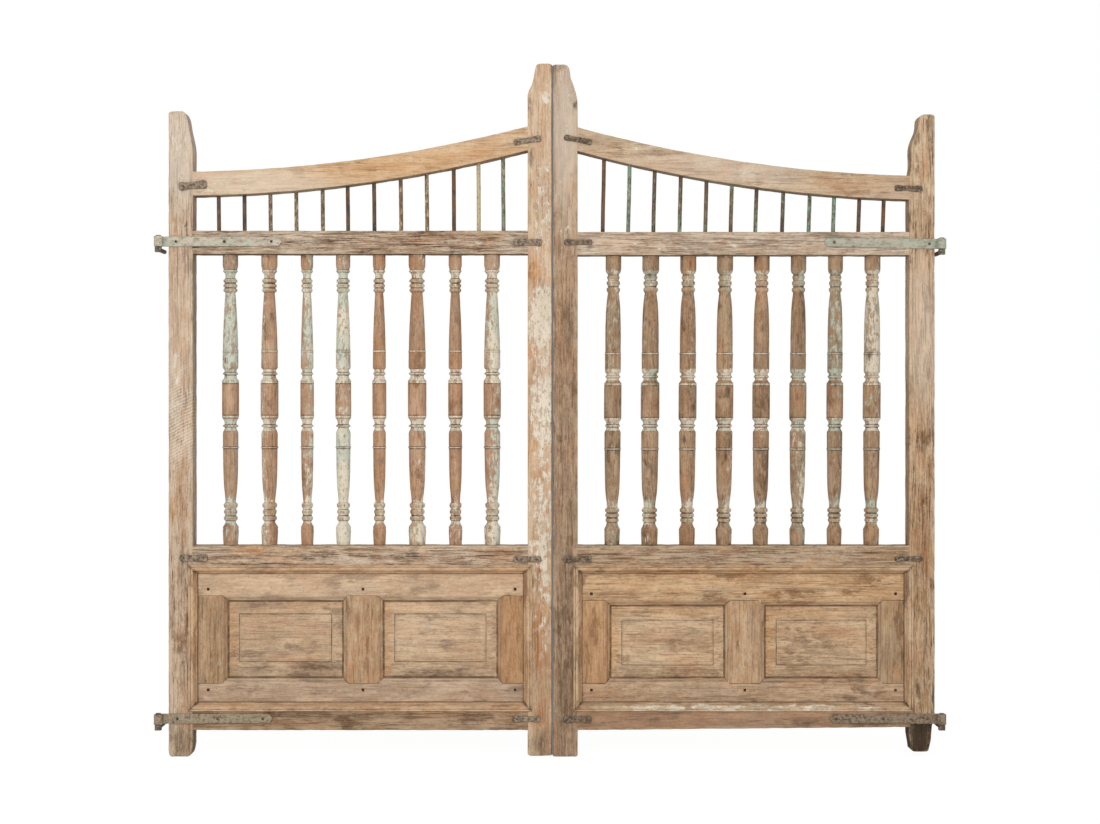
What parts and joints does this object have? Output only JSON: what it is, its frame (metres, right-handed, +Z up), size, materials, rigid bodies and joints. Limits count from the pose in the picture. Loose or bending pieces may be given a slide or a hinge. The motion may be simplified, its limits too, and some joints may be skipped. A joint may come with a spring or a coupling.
{
  "type": "wooden double garden gate",
  "caption": "Pair of reclaimed wooden garden gate leaves with swept top rails, iron rods, turned balusters, raised panels and strap hinges on pintles.",
  "frame": {"origin": "on the ground under the middle of the whole gate, half way through its depth from the front of the hinge eyes to the points of the spikes", "axes": "+X along the gate to the viewer's right, +Z up, -Y towards the viewer"},
  "size_m": [2.056, 0.1062, 1.804],
  "materials": {
    "stile": "weathered teak with the remains of cream paint, matt",
    "rail": "weathered teak, scraped and matt",
    "panel_frame": "old teak with worn paint, matt",
    "panel": "old teak, dry and matt",
    "moulding": "old teak with pale worn edges, matt",
    "baluster": "turned teak with streaks of cream and mint paint",
    "peg": "dark end grain",
    "rod_iron": "rusty iron with flaking green and cream paint",
    "painted_strap": "iron under worn mint and cream paint",
    "rusty_strap": "brown-grey rusted iron",
    "nail_iron": "dark rusted iron",
    "pintle_iron": "dark forged iron"
  },
  "bodies": {
    "pintles": {"left_pintle_upper": "pintle_iron", "left_pintle_lower": "pintle_iron", "right_pintle_upper": "pintle_iron", "right_pintle_lower": "pintle_iron"},
    "left_leaf": {"left_hinge_stile": "stile", "left_meeting_stile": "stile", "left_arched_rail": "rail", "left_middle_rail": "rail", "left_lock_rail": "rail", "left_bottom_rail": "rail", "left_panel_top_rail": "panel_frame", "left_panel_bottom_rail": "panel_frame", "left_meeting_muntin": "panel_frame", "left_centre_muntin": "panel_frame", "left_hinge_muntin": "panel_frame", "left_panel_meeting_side": "panel", "left_panel_hinge_side": "panel", "left_panel_moulding": "moulding", "left_top_rods": "rod_iron", "left_hinge_strap_upper": "painted_strap", "left_hinge_strap_lower": "rusty_strap", "left_tie_straps": "rusty_strap", "left_nails": "nail_iron", "left_panel_pegs": "peg", "left_baluster_1": "baluster", "left_baluster_2": "baluster", "left_baluster_3": "baluster", "left_baluster_4": "baluster", "left_baluster_5": "baluster", "left_baluster_6": "baluster", "left_baluster_7": "baluster", "left_baluster_8": "baluster"},
    "right_leaf": {"right_hinge_stile": "stile", "right_meeting_stile": "stile", "right_arched_rail": "rail", "right_middle_rail": "rail", "right_lock_rail": "rail", "right_bottom_rail": "rail", "right_panel_top_rail": "panel_frame", "right_panel_bottom_rail": "panel_frame", "right_meeting_muntin": "panel_frame", "right_centre_muntin": "panel_frame", "right_hinge_muntin": "panel_frame", "right_panel_meeting_side": "panel", "right_panel_hinge_side": "panel", "right_panel_moulding": "moulding", "right_top_rods": "rod_iron", "right_hinge_strap_upper": "painted_strap", "right_hinge_strap_lower": "rusty_strap", "right_tie_straps": "rusty_strap", "right_nails": "nail_iron", "right_panel_pegs": "peg", "right_baluster_1": "baluster", "right_baluster_2": "baluster", "right_baluster_3": "baluster", "right_baluster_4": "baluster", "right_baluster_5": "baluster", "right_baluster_6": "baluster", "right_baluster_7": "baluster", "right_baluster_8": "baluster"}
  },
  "joints": [
    {"name": "left_leaf_swing", "type": "hinge", "parent": "pintles", "child": "left_leaf", "pos_m": [-1.016, -0.04105, 0.72], "axis": [0, 0, -1], "range_deg": [0, 170]},
    {"name": "right_leaf_swing", "type": "hinge", "parent": "pintles", "child": "right_leaf", "pos_m": [1.016, -0.04105, 0.72], "axis": [0, 0, 1], "range_deg": [0, 170]}
  ]
}
